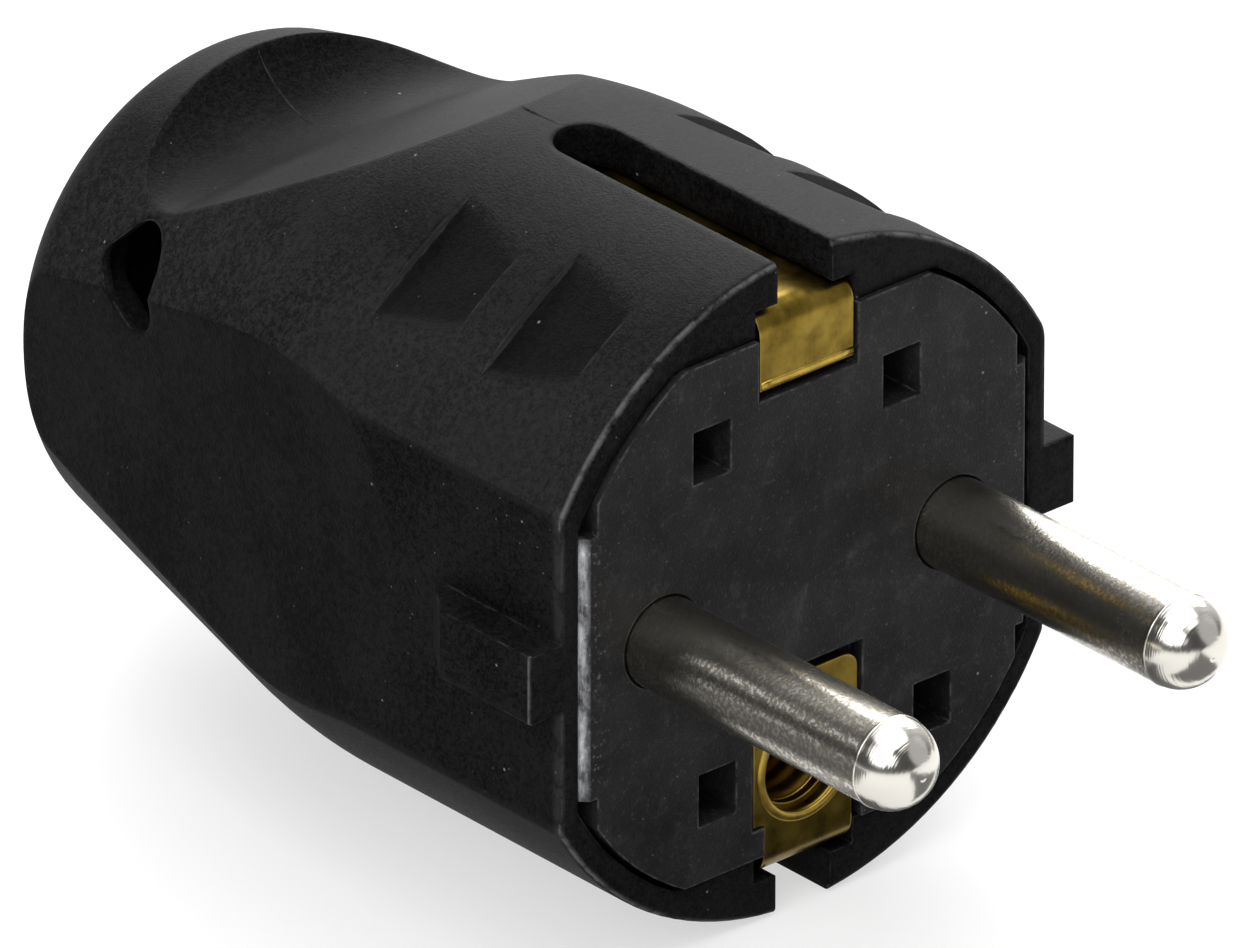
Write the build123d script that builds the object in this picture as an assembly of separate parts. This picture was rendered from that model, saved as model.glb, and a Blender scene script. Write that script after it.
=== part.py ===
from build123d import *
import math
import os

# Rewirable earthed mains plug: a moulded hood over a contact carrier with two pins.
# Millimetres. The origin is the centre of the engagement face, the pins point to -Y,
# the cable leaves at +Y, and the two side earth clips lie at +Z and -Z.

# Pins and their terminals
PIN_SPACING = 19.0
PIN_DIAMETER = 4.8
PIN_LENGTH = 19.0
PIN_WALL = 4.2
PIN_NECK_DIAMETER = 4.0
PIN_NECK_OUT = 0.2
PIN_RELIEF_DEPTH = 0.8
BARREL_DIAMETER = 7.4
BARREL_LENGTH = 9.6
WIRE_BORE = 3.2
WIRE_BORE_DEPTH = 7.0
TERMINAL_SCREW_INSET = 4.0

# Screws
SCREW_DIAMETER = 2.9
SCREW_HEAD_DIAMETER = 5.2
SCREW_HEAD_HEIGHT = 1.9
SCREW_SLOT_WIDTH = 0.8
SCREW_SLOT_DEPTH = 1.0
TERMINAL_SCREW_LENGTH = 3.4
EARTH_SCREW_LENGTH = 5.2
CLAMP_SCREW_LENGTH = 8.6

# Clearances
FIT = 0.1
CARRIER_PLAY = 0.3
CLIP_PLAY = 0.2

# Hood: body of revolution with side flats
HOOD_RADIUS = 18.05
HOOD_LENGTH = 45.8
RIM_SETBACK = 0.3
RIM_ROUND = 0.4
SHOULDER_Y = 22.5
SHOULDER_ROUND = 30.0
TAIL_RADIUS = 12.75
TAIL_ROUND = 4.0
FLAT_X = 15.8
WALL = 2.2
REAR_WALL = 3.6
CABLE_ENTRY = 9.6
ENTRY_ROUND = 0.8

# Hood mouth that takes the carrier's flange
RIM_WALL = 1.4
RIM_SIDE_WALL = 1.05
RIM_TOP_WALL = 3.7

# Thumb hollow on top: a ramp running into a round floor, crowned across
HOLLOW_LOW_Y = 36.5
HOLLOW_FLOOR_Z = 11.0
HOLLOW_RADIUS = 5.2
HOLLOW_RAMP = 26.5
HOLLOW_CROWN = 83.0

# Finger dishes on the sides
DISH_START_Y = 12.55
DISH_RADIUS = 94.0
DISH_SLOPE = 6.3

# Guide ribs on the flats
RIB_HALF_HEIGHT = 1.85
RIB_REACH = 17.8
RIB_LENGTH = 6.7
RIB_RAMP = 2.8

# Contact slots through the top and bottom of the hood
SLOT_HALF_WIDTH = 1.8
SLOT_LENGTH = 18.0

# Flat grip notches on the shoulders, deepest at the rear
NOTCH_REAR_YS = (9.2, 17.4)
NOTCH_ANGLE = 34.5
NOTCH_DEPTH = 0.45
NOTCH_TILT = 2.6
NOTCH_LENGTH = 5.4

# Rounded three-sided windows high on the tail: Y, Z and radius of each corner
WINDOW_CORNERS = ((35.5, 8.0, 1.9), (37.6, 7.45, 0.75), (34.85, 6.4, 1.5))
WINDOW_WALL = 0.5
WINDOW_MARGIN = 1.2

# Contact carrier
FLANGE_THICKNESS = 3.0
CARRIER_DEPTH = 16.8
BODY_STEP = 0.85
TONGUE_HALF_HEIGHT = 7.2
TONGUE_STEP = 0.95
TONGUE_CHAMFER = 0.45
SNAP_REACH = 0.6
SNAP_HALF_HEIGHT = 1.4
SNAP_Y = 1.3
SNAP_LENGTH = 1.0
CORE_WIDTH = 2.45
CORE_HEIGHT = 2.9
CORE_DEPTH = 6.0
CORE_PLACES = ((-6.3, 9.3), (6.1, 9.3), (-5.9, -9.7), (8.2, -9.6))
WIRING_HALF_WIDTH = 4.0
WIRING_LOW_Z = -4.6
WIRING_HIGH_Z = 10.0
WIRING_FLOOR_Y = 7.0

# Earth strap: one strip bent round the carrier
STRAP_THICKNESS = 0.8
STRAP_HALF_WIDTH = 2.1
STRAP_SINK = 0.15
STRAP_BEND = 0.5
CLIP_STANDOFF = 0.05
FLAP_HALF_WIDTH = 3.05
FLAP_LENGTH = 4.2
FLAP_POCKET = 0.45
PLATE_HALF_WIDTH = 3.4
PLATE_ABOVE_HOLE = 5.0
PLATE_POCKET = 0.6
PLATE_CORNER = 0.9
PLATE_HOLE = 5.3
PLATE_HOLE_ROUND = 0.25
KEY_X = -2.7
KEY_INSET = 3.0
BRIDGE_HALF_WIDTH = 2.7
BRIDGE_HALF_HEIGHT = 12.0

# Earth receptacle
SLEEVE_INSET = 5.6
SLEEVE_BORE = 5.0
SLEEVE_WALL = 0.8
SLEEVE_LENGTH = 12.4
SLEEVE_SLIT = 0.8

# Earth terminal on the strap's bridge
EARTH_SCREW_Z = 3.0
WASHER_WIDTH = 5.6
WASHER_THICKNESS = 0.9

# Cord grip on the carrier's tail
CORD_RADIUS = 3.9
TAIL_HALF_WIDTH = 10.0
TAIL_LENGTH = 14.0
TAIL_THICKNESS = 2.6
TAIL_GAP = 2.2
GRIP_WIDTH = 6.0
GRIP_HEIGHT = 5.4
GRIP_SCREW_X = 7.2
POST_WIDTH = 5.0

# How far a cutter reaches past the face that it opens
OVERRUN = 5.0

# Worked-out places
PIN_X = PIN_SPACING / 2
BARREL_END_Y = PIN_WALL + BARREL_LENGTH
TERMINAL_SCREW_Y = PIN_WALL + TERMINAL_SCREW_INSET
MOUTH_RADIUS = HOOD_RADIUS - RIM_WALL
MOUTH_HALF_WIDTH = FLAT_X - RIM_SIDE_WALL
MOUTH_HALF_HEIGHT = HOOD_RADIUS - RIM_TOP_WALL
FLANGE_RADIUS = MOUTH_RADIUS - CARRIER_PLAY
TONGUE_X = MOUTH_HALF_WIDTH - FIT
FLANGE_HALF_WIDTH = TONGUE_X - TONGUE_STEP
FLANGE_HALF_HEIGHT = MOUTH_HALF_HEIGHT - FIT
BODY_HALF_HEIGHT = FLANGE_HALF_HEIGHT - BODY_STEP
BODY_RADIUS = HOOD_RADIUS - WALL - CARRIER_PLAY
DISH_AT_CARRIER = max(0, CARRIER_DEPTH - DISH_START_Y) * math.tan(math.radians(DISH_SLOPE))
BODY_HALF_WIDTH = FLAT_X - WALL - DISH_AT_CARRIER - CARRIER_PLAY
STRAP_INNER_HEIGHT = FLANGE_HALF_HEIGHT + STRAP_BEND + CLIP_STANDOFF
STRAP_OUTER_HEIGHT = STRAP_INNER_HEIGHT + STRAP_THICKNESS
STRAP_SEAT_Y = STRAP_SINK + STRAP_THICKNESS
FLAP_END_Z = STRAP_OUTER_HEIGHT - FLAP_LENGTH
SLEEVE_Z = SLEEVE_INSET - STRAP_OUTER_HEIGHT
PLATE_TOP_Z = SLEEVE_Z + PLATE_ABOVE_HOLE
KEY_TOP_Z = KEY_INSET - STRAP_OUTER_HEIGHT
BRIDGE_REAR_Y = CARRIER_DEPTH + STRAP_THICKNESS
TAIL_END_Y = CARRIER_DEPTH + TAIL_LENGTH
GRIP_Y = TAIL_END_Y - GRIP_WIDTH / 2


def along_y(sketch, y_start, y_end):
    """Extrude a sketch drawn in X and Z from one Y to another."""
    return extrude(Plane.XZ.offset(-y_end) * sketch, y_end - y_start)


def rod(radius, x, z, y_start, y_end):
    """Round bar along Y."""
    return along_y(Pos(x, z) * Circle(radius), y_start, y_end)


def post(radius, x, y, z_start, z_end):
    """Round bar along Z."""
    return extrude(Plane.XY.offset(z_start) * Pos(x, y) * Circle(radius), z_end - z_start)


def block(x_start, x_end, y_start, y_end, z_start, z_end):
    """Box between two corners."""
    size = (x_end - x_start, y_end - y_start, z_end - z_start)
    middle = ((x_start + x_end) / 2, (y_start + y_end) / 2, (z_start + z_end) / 2)
    return Pos(*middle) * Box(*size)


def both_sides(shape):
    """The shape and its mirror image across the plane between the pins."""
    return shape + mirror(shape, Plane.YZ)


def trimmed_disc(radius, half_width, half_height):
    """Disc with its sides, top and bottom cut straight."""
    return Circle(radius) & Rectangle(2 * half_width, 2 * half_height)


def slotted_screw(length):
    """Cheese-head screw along +Z with the underside of its head at the origin."""
    shank = extrude(Circle(SCREW_DIAMETER / 2), -length)
    head = extrude(Circle(SCREW_HEAD_DIAMETER / 2), SCREW_HEAD_HEIGHT)
    slot_floor = SCREW_HEAD_HEIGHT - SCREW_SLOT_DEPTH
    half_slot = SCREW_SLOT_WIDTH / 2
    reach = SCREW_HEAD_DIAMETER
    slot = block(-reach, reach, -half_slot, half_slot, slot_floor, SCREW_HEAD_HEIGHT + SCREW_SLOT_DEPTH)
    return shank + head - slot


def thumb_hollow(inset):
    """Cutter for the hollow on top, its floor lowered by the inset."""
    centre_z = HOLLOW_FLOOR_Z + HOLLOW_RADIUS
    radius = HOLLOW_RADIUS + inset
    ramp = math.radians(HOLLOW_RAMP)
    foot = (HOLLOW_LOW_Y - radius * math.sin(ramp), centre_z - radius * math.cos(ramp))
    rear = (HOLLOW_LOW_Y + radius, centre_z)
    halfway = (math.pi / 2 - ramp) / 2
    belly = (HOLLOW_LOW_Y + radius * math.sin(halfway), centre_z - radius * math.cos(halfway))
    lip = (rear[0], centre_z + HOOD_RADIUS)
    run = (lip[1] - foot[1]) / math.tan(ramp)
    outline = (
        Line((foot[0] - run, lip[1]), foot)
        + ThreePointArc(foot, belly, rear)
        + Line(rear, lip)
        + Line(lip, (foot[0] - run, lip[1]))
    )
    axis = Axis((0, 0, HOLLOW_FLOOR_Z - HOLLOW_CROWN), (0, 1, 0))
    sweep = 2 * math.degrees(math.atan(HOOD_RADIUS / (HOLLOW_CROWN - HOOD_RADIUS)))
    return revolve(Plane.YZ * make_face(outline), axis, sweep).rotate(axis, -sweep / 2)


def finger_dish(inset):
    """Cutter for the shallow hollow on the left side, deeper by the inset."""
    slope = math.radians(DISH_SLOPE)
    scoop = Rot(Z=-DISH_SLOPE) * Rot(X=90) * Cylinder(DISH_RADIUS + inset, 4 * HOOD_LENGTH)
    centre_x = -FLAT_X - DISH_RADIUS * math.cos(slope)
    return Pos(centre_x, DISH_START_Y + DISH_RADIUS * math.sin(slope), 0) * scoop


def hood_form(inset, y_front, y_rear):
    """Turned body with flats, dishes and thumb hollow, all set in by the same wall."""
    taper = (HOOD_RADIUS - TAIL_RADIUS) / (HOOD_LENGTH - SHOULDER_Y)
    radius = HOOD_RADIUS - inset
    rear_radius = radius - taper * (y_rear - SHOULDER_Y)
    half = make_face(
        Polyline(
            (0, y_front), (radius, y_front), (radius, SHOULDER_Y), (rear_radius, y_rear), (0, y_rear), close=True
        )
    )
    half = fillet(half.vertices().sort_by_distance((radius, SHOULDER_Y, 0))[0], SHOULDER_ROUND)
    half = fillet(half.vertices().sort_by_distance((rear_radius, y_rear, 0))[0], TAIL_ROUND)
    if inset == 0:
        half = fillet(half.vertices().sort_by_distance((radius, y_front, 0))[0], RIM_ROUND)
    form = revolve(half, Axis.Y)
    reach = 2 * HOOD_RADIUS
    form &= block(inset - FLAT_X, FLAT_X - inset, -reach, HOOD_LENGTH + reach, -reach, reach)
    form -= thumb_hollow(inset)
    return form - both_sides(finger_dish(inset))


def guide_rib():
    """Rib on the left flat, ending in a ramp."""
    root = FLAT_X - RIM_SIDE_WALL / 2
    rise = RIB_REACH - root
    ramp_end = RIM_SETBACK + RIB_LENGTH + RIB_RAMP * rise / (RIB_REACH - FLAT_X)
    outline = Polyline(
        (-root, RIM_SETBACK),
        (-RIB_REACH, RIM_SETBACK),
        (-RIB_REACH, RIM_SETBACK + RIB_LENGTH),
        (-root, ramp_end),
        close=True,
    )
    return extrude(Plane.XY * make_face(outline), RIB_HALF_HEIGHT, both=True)


def contact_slot():
    """Cutter for the open slot over the top earth clip, round at its rear end."""
    base_z = MOUTH_HALF_HEIGHT - STRAP_THICKNESS
    top_z = HOOD_RADIUS + STRAP_THICKNESS
    bar_end = SLOT_LENGTH - SLOT_HALF_WIDTH
    slot = block(-SLOT_HALF_WIDTH, SLOT_HALF_WIDTH, -OVERRUN, bar_end, base_z, top_z)
    slot += post(SLOT_HALF_WIDTH, 0, bar_end, base_z, top_z)
    notch_half = FLAP_HALF_WIDTH + CLIP_PLAY
    notch_top = STRAP_OUTER_HEIGHT + CLIP_PLAY
    return slot + block(-notch_half, notch_half, -OVERRUN, FLANGE_THICKNESS, base_z, notch_top)


def grip_notch(rear_y):
    """Cutter for a flat-floored notch across the upper left shoulder."""
    half = HOOD_RADIUS / 2
    notch = block(-half, half, -NOTCH_LENGTH, 0, 0, OVERRUN)
    return Rot(Y=-NOTCH_ANGLE) * Pos(0, rear_y, HOOD_RADIUS - NOTCH_DEPTH) * Rot(X=-NOTCH_TILT) * notch


def tail_window(margin):
    """Cutter for the window on the upper left of the tail, wider by the margin."""
    corners = [(Pos(y, z) * Circle(radius + margin)).edge() for y, z, radius in WINDOW_CORNERS]
    return extrude(Plane.YZ * make_hull(corners), -HOOD_RADIUS)


def snap_pocket(play):
    """Left snap nose of the carrier, or with play the pocket that takes it."""
    half = SNAP_HALF_HEIGHT + play
    start_x = -TONGUE_X - SNAP_REACH - play
    return block(start_x, -FLANGE_HALF_WIDTH, SNAP_Y - play, SNAP_Y + SNAP_LENGTH + play, -half, half)


def make_hood():
    """Moulded hood: outer form less the same form set in, with mouth, slots and cable entry."""
    inner_end = HOOD_LENGTH - REAR_WALL
    hood = hood_form(0, RIM_SETBACK, HOOD_LENGTH) + both_sides(guide_rib())
    hood -= hood_form(WALL, FLANGE_THICKNESS, inner_end)
    mouth = trimmed_disc(MOUTH_RADIUS, MOUTH_HALF_WIDTH, MOUTH_HALF_HEIGHT)
    hood -= along_y(mouth, -OVERRUN, FLANGE_THICKNESS)
    hood -= contact_slot() + mirror(contact_slot(), Plane.XY)
    hood -= both_sides(snap_pocket(FIT))
    for rear_y in NOTCH_REAR_YS:
        hood -= both_sides(grip_notch(rear_y))
    hood -= both_sides(tail_window(WINDOW_MARGIN)) & hood_form(WINDOW_WALL, FLANGE_THICKNESS, inner_end)
    hood -= both_sides(tail_window(0))
    hood -= rod(CABLE_ENTRY / 2, 0, 0, inner_end - OVERRUN, HOOD_LENGTH + OVERRUN)
    lip = hood.edges().filter_by(GeomType.CIRCLE).filter_by(
        lambda edge: abs(edge.radius - CABLE_ENTRY / 2) < FIT and abs(edge.center().Y - HOOD_LENGTH) < FIT
    )
    return fillet(lip, ENTRY_ROUND)


def terminal_place(side):
    """Place of the screw in a pin's barrel, its head above the barrel."""
    return Pos(side * PIN_X, TERMINAL_SCREW_Y, BARREL_DIAMETER / 2)


def make_carrier():
    """Moulded carrier: flange with snap tongues, terminal block, and tail for the cord grip."""
    carrier = along_y(
        trimmed_disc(FLANGE_RADIUS, FLANGE_HALF_WIDTH, FLANGE_HALF_HEIGHT), 0, FLANGE_THICKNESS
    )
    carrier += along_y(
        trimmed_disc(BODY_RADIUS, BODY_HALF_WIDTH, BODY_HALF_HEIGHT), FLANGE_THICKNESS, CARRIER_DEPTH
    )
    tongue = block(
        -TONGUE_X, -FLANGE_HALF_WIDTH, 0, FLANGE_THICKNESS, -TONGUE_HALF_HEIGHT, TONGUE_HALF_HEIGHT
    )
    front_edge = tongue.edges().filter_by(Axis.Z).sort_by_distance((-TONGUE_X, 0, 0))[0]
    tongue = chamfer(front_edge, TONGUE_CHAMFER)
    carrier += both_sides(tongue + snap_pocket(0))
    carrier += make_tail()
    carrier -= strap_seat()
    for side in (-1, 1):
        x = side * PIN_X
        carrier -= rod(PIN_DIAMETER / 2 + FIT, x, 0, -OVERRUN, PIN_RELIEF_DEPTH)
        carrier -= rod(PIN_NECK_DIAMETER / 2 + FIT, x, 0, 0, CARRIER_DEPTH)
        carrier -= rod(BARREL_DIAMETER / 2 + CLIP_PLAY, x, 0, PIN_WALL, CARRIER_DEPTH)
        shaft = SCREW_HEAD_DIAMETER / 2 + CLIP_PLAY
        carrier -= block(x - shaft, x + shaft, TERMINAL_SCREW_Y - shaft, CARRIER_DEPTH, 0, HOOD_RADIUS)
    for x, z in CORE_PLACES:
        carrier -= along_y(Pos(x, z) * Rectangle(CORE_WIDTH, CORE_HEIGHT), -OVERRUN, CORE_DEPTH)
    carrier -= rod(SLEEVE_BORE / 2 + SLEEVE_WALL + FIT, 0, SLEEVE_Z, 0, CARRIER_DEPTH)
    carrier -= block(
        -WIRING_HALF_WIDTH, WIRING_HALF_WIDTH, WIRING_FLOOR_Y, CARRIER_DEPTH, WIRING_LOW_Z, WIRING_HIGH_Z
    )
    return carrier


def make_tail():
    """Tail plate with two posts under the cord grip, open round the strap's bridge."""
    floor_z = -CORD_RADIUS
    tail = block(
        -TAIL_HALF_WIDTH, TAIL_HALF_WIDTH, CARRIER_DEPTH, TAIL_END_Y, floor_z - TAIL_THICKNESS, floor_z
    )
    opening = BRIDGE_HALF_WIDTH + CLIP_PLAY
    tail -= block(
        -opening, opening, CARRIER_DEPTH, BRIDGE_REAR_Y + TAIL_GAP, floor_z - TAIL_THICKNESS, floor_z
    )
    half_post = POST_WIDTH / 2
    half_grip = GRIP_WIDTH / 2
    for side in (-1, 1):
        x = side * GRIP_SCREW_X
        tail += block(x - half_post, x + half_post, GRIP_Y - half_grip, GRIP_Y + half_grip, floor_z, 0)
        tail -= post(SCREW_DIAMETER / 2 + FIT, x, GRIP_Y, floor_z - TAIL_THICKNESS, 0)
    return tail


def strap_seat():
    """Cutter for the recesses in the carrier's face that take the flap and the plate."""
    flap_half = FLAP_HALF_WIDTH + CLIP_PLAY
    plate_half = PLATE_HALF_WIDTH + CLIP_PLAY
    seat = block(-flap_half, flap_half, -OVERRUN, STRAP_SEAT_Y, FLAP_END_Z - FLAP_POCKET, HOOD_RADIUS)
    seat += block(-plate_half, plate_half, -OVERRUN, STRAP_SEAT_Y, -HOOD_RADIUS, PLATE_TOP_Z + PLATE_POCKET)
    key_x = KEY_X - FIT
    return seat - block(-plate_half, key_x, -OVERRUN, STRAP_SEAT_Y, -HOOD_RADIUS, KEY_TOP_Z - FIT)


def make_pin(side):
    """Turned pin with a ball end, a neck through the carrier's wall and a terminal barrel."""
    radius = PIN_DIAMETER / 2
    neck = PIN_NECK_DIAMETER / 2
    barrel = BARREL_DIAMETER / 2
    wire = WIRE_BORE / 2
    outline = (
        Line((0, -PIN_LENGTH), (0, BARREL_END_Y - WIRE_BORE_DEPTH))
        + Line((0, BARREL_END_Y - WIRE_BORE_DEPTH), (wire, BARREL_END_Y - WIRE_BORE_DEPTH))
        + Line((wire, BARREL_END_Y - WIRE_BORE_DEPTH), (wire, BARREL_END_Y))
        + Line((wire, BARREL_END_Y), (barrel, BARREL_END_Y))
        + Line((barrel, BARREL_END_Y), (barrel, PIN_WALL))
        + Line((barrel, PIN_WALL), (neck, PIN_WALL))
        + Line((neck, PIN_WALL), (neck, -PIN_NECK_OUT))
        + Line((neck, -PIN_NECK_OUT), (radius, -PIN_NECK_OUT))
        + Line((radius, -PIN_NECK_OUT), (radius, radius - PIN_LENGTH))
        + RadiusArc((radius, radius - PIN_LENGTH), (0, -PIN_LENGTH), radius)
    )
    pin = Pos(side * PIN_X, 0, 0) * revolve(make_face(outline), Axis.Y)
    return pin - terminal_place(side) * post(SCREW_DIAMETER / 2 + FIT, 0, 0, -barrel, barrel)


def strap_section():
    """The strip's closed ring round the carrier, open in front between plate and flap."""
    outer_round = STRAP_BEND + STRAP_THICKNESS
    middle = (STRAP_SINK + BRIDGE_REAR_Y) / 2
    depth = BRIDGE_REAR_Y - STRAP_SINK
    inner_depth = depth - 2 * STRAP_THICKNESS
    ring = RectangleRounded(depth, 2 * STRAP_OUTER_HEIGHT, outer_round)
    ring -= RectangleRounded(inner_depth, 2 * STRAP_INNER_HEIGHT, STRAP_BEND)
    gap = FLAP_END_Z - PLATE_TOP_Z
    opening = Pos(-depth / 2, (FLAP_END_Z + PLATE_TOP_Z) / 2) * Rectangle(4 * STRAP_THICKNESS, gap)
    return Pos(middle, 0) * (ring - opening)


def strap_piece(half_width, y_start, y_end, z_start, z_end):
    """Part of the strip's ring inside a window, at its own width."""
    window = Pos((y_start + y_end) / 2, (z_start + z_end) / 2) * Rectangle(y_end - y_start, z_end - z_start)
    return extrude(Plane.YZ * (strap_section() & window), half_width, both=True)


def make_strap():
    """Earth strap: top flap and clip, bridge behind the carrier, bottom clip and plate."""
    front_end = STRAP_SEAT_Y + STRAP_BEND
    reach = HOOD_RADIUS
    strap = strap_piece(STRAP_HALF_WIDTH, -OVERRUN, HOOD_LENGTH, -reach, reach)
    strap += strap_piece(FLAP_HALF_WIDTH, -OVERRUN, front_end, 0, reach)
    strap += strap_piece(
        BRIDGE_HALF_WIDTH, BRIDGE_REAR_Y - STRAP_THICKNESS, HOOD_LENGTH, -BRIDGE_HALF_HEIGHT, BRIDGE_HALF_HEIGHT
    )
    foot = strap_piece(FLAP_HALF_WIDTH, -OVERRUN, front_end, -reach, KEY_TOP_Z)
    foot -= block(-reach, KEY_X, -OVERRUN, HOOD_LENGTH, -reach, reach)
    plate = block(
        -PLATE_HALF_WIDTH, PLATE_HALF_WIDTH, STRAP_SINK, STRAP_SEAT_Y, KEY_TOP_Z, PLATE_TOP_Z
    )
    upper = plate.edges().filter_by(Axis.Y).group_by(Axis.Z)[-1]
    plate = fillet(upper, PLATE_CORNER)
    strap += foot + plate
    strap -= rod(PLATE_HOLE / 2, 0, SLEEVE_Z, -OVERRUN, STRAP_SEAT_Y + STRAP_THICKNESS)
    strap -= rod(SCREW_DIAMETER / 2 + FIT, 0, EARTH_SCREW_Z, CARRIER_DEPTH - OVERRUN, BRIDGE_REAR_Y)
    rim = strap.edges().filter_by(GeomType.CIRCLE).filter_by(
        lambda edge: abs(edge.radius - PLATE_HOLE / 2) < FIT and abs(edge.center().Y - STRAP_SINK) < FIT
    )
    return fillet(rim, PLATE_HOLE_ROUND)


def make_sleeve():
    """Rolled sleeve behind the plate that takes an earth pin, slit along its top."""
    bore = SLEEVE_BORE / 2
    end_y = STRAP_SEAT_Y + SLEEVE_LENGTH
    sleeve = rod(bore + SLEEVE_WALL, 0, SLEEVE_Z, STRAP_SEAT_Y, end_y)
    sleeve -= rod(bore, 0, SLEEVE_Z, STRAP_SEAT_Y, end_y)
    half_slit = SLEEVE_SLIT / 2
    return sleeve - block(-half_slit, half_slit, STRAP_SEAT_Y, end_y, SLEEVE_Z, SLEEVE_Z + SLEEVE_BORE)


def make_terminal_screws():
    """The line and neutral screws in their barrels and the earth screw on the bridge."""
    pin_screw = slotted_screw(TERMINAL_SCREW_LENGTH)
    earth_place = Pos(0, BRIDGE_REAR_Y + WASHER_THICKNESS, EARTH_SCREW_Z) * Rot(X=-90)
    screws = [terminal_place(side) * pin_screw for side in (-1, 1)]
    screws.append(earth_place * slotted_screw(EARTH_SCREW_LENGTH))
    return Compound(children=screws)


def make_washer():
    """Square clamp washer under the earth screw's head."""
    washer = along_y(
        Pos(0, EARTH_SCREW_Z) * Rectangle(WASHER_WIDTH, WASHER_WIDTH),
        BRIDGE_REAR_Y,
        BRIDGE_REAR_Y + WASHER_THICKNESS,
    )
    return washer - rod(
        SCREW_DIAMETER / 2 + FIT, 0, EARTH_SCREW_Z, BRIDGE_REAR_Y, BRIDGE_REAR_Y + WASHER_THICKNESS
    )


def make_cord_grip():
    """Saddle that presses the cord on the carrier's tail."""
    half = GRIP_WIDTH / 2
    grip = block(-TAIL_HALF_WIDTH, TAIL_HALF_WIDTH, GRIP_Y - half, GRIP_Y + half, 0, GRIP_HEIGHT)
    crown = grip.edges().filter_by(Axis.Y).group_by(Axis.Z)[-1]
    grip = fillet(crown, GRIP_HEIGHT / 4)
    grip -= rod(CORD_RADIUS, 0, 0, GRIP_Y - half, GRIP_Y + half)
    for side in (-1, 1):
        grip -= post(SCREW_DIAMETER / 2 + FIT, side * GRIP_SCREW_X, GRIP_Y, 0, GRIP_HEIGHT)
    return grip


def make_grip_screws():
    """Two screws that draw the saddle down on the posts."""
    screw = slotted_screw(CLAMP_SCREW_LENGTH)
    return Compound(children=[Pos(side * GRIP_SCREW_X, GRIP_Y, GRIP_HEIGHT) * screw for side in (-1, 1)])


nodes = {
    "hood": make_hood(),
    "contact_carrier": make_carrier(),
    "line_pin": make_pin(-1),
    "neutral_pin": make_pin(1),
    "earth_strap": make_strap(),
    "earth_sleeve": make_sleeve(),
    "earth_clamp_washer": make_washer(),
    "terminal_screws": make_terminal_screws(),
    "cord_grip": make_cord_grip(),
    "cord_grip_screws": make_grip_screws(),
}

os.makedirs("parts", exist_ok=True)
for name, shape in nodes.items():
    export_step(shape, f"parts/{name}.step")
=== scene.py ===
# %% [markdown]
# # A rewirable mains plug, dressed for a product photograph
#
# The solids of the plug come in as a fixed frame: hood, contact carrier, pins and earth strap.
# This lesson gives them their finishes, adds the small formed details that are too fine for the
# solids, and sets up the light and the camera of a plain studio picture. The solids could be
# remodelled here, but then the picture and the real part would drift apart, so they stay as they
# are.

# %% Load the frame
import math

import bmesh
import bpy
import numpy as np
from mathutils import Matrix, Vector


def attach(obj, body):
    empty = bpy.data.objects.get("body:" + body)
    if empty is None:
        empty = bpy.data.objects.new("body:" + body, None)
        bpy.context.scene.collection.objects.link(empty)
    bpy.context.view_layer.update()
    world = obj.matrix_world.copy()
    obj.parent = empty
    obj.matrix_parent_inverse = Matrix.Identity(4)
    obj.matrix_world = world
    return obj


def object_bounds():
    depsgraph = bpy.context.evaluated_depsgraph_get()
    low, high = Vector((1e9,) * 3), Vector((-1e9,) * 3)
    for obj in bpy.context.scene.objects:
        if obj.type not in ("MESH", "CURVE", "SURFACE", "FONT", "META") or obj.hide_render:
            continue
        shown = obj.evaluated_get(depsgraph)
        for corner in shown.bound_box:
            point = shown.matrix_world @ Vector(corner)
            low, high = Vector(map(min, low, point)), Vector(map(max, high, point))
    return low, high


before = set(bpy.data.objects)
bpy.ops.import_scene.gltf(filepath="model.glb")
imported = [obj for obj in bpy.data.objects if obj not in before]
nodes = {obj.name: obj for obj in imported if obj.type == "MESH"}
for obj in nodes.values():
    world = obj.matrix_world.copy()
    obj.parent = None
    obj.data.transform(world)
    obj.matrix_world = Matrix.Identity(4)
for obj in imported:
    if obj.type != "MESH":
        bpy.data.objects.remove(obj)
cad_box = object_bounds()
MM = 0.001
print("nodes:", sorted(nodes))
print("solids' box in mm:", [[round(c / MM, 2) for c in corner] for corner in cad_box])

# %% [markdown]
# ## The camera
#
# The picture was taken from the left of the pins, well above them, through a very long lens, so
# that the two pins look almost parallel. A camera can be found by eye, but here the spacing and
# the length of the pins are standard, so the position and the lens were fitted to them and are
# simply written down. Blender wants the focal length for a 36 mm wide sensor.

# %% Camera at the photograph's place
CAMERA_PLACE = (-0.915735, -1.021664, 0.721988)
CAMERA_TURN_DEG = (62.43903, -0.04265, -41.46069)
SENSOR_WIDTH = 36.0
FOCAL_LENGTH = 922.51
NEAREST_SEEN = 0.05
FARTHEST_SEEN = 20.0

camera_data = bpy.data.cameras.new("studio_camera")
camera_data.sensor_width = SENSOR_WIDTH
camera_data.lens = FOCAL_LENGTH
camera_data.clip_start = NEAREST_SEEN
camera_data.clip_end = FARTHEST_SEEN
camera = bpy.data.objects.new("studio_camera", camera_data)
camera.location = CAMERA_PLACE
camera.rotation_euler = [math.radians(angle) for angle in CAMERA_TURN_DEG]
bpy.context.scene.collection.objects.link(camera)
bpy.context.scene.camera = camera
bpy.context.scene.view_settings.view_transform = "Standard"
print("lens:", camera_data.lens, "mm")

# %% [markdown]
# ## Sockets that can be added and multiplied
#
# A finish is mostly arithmetic: a grain here, a little wear there, one mask taken away from
# another. Wiring Math nodes by hand hides that arithmetic. So one small class wraps a socket and
# overloads the operators, and an ordinary expression such as `1 - mask` adds the nodes itself.
# Every other kind of node comes from its one method `add`.

# %% The socket class


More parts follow.
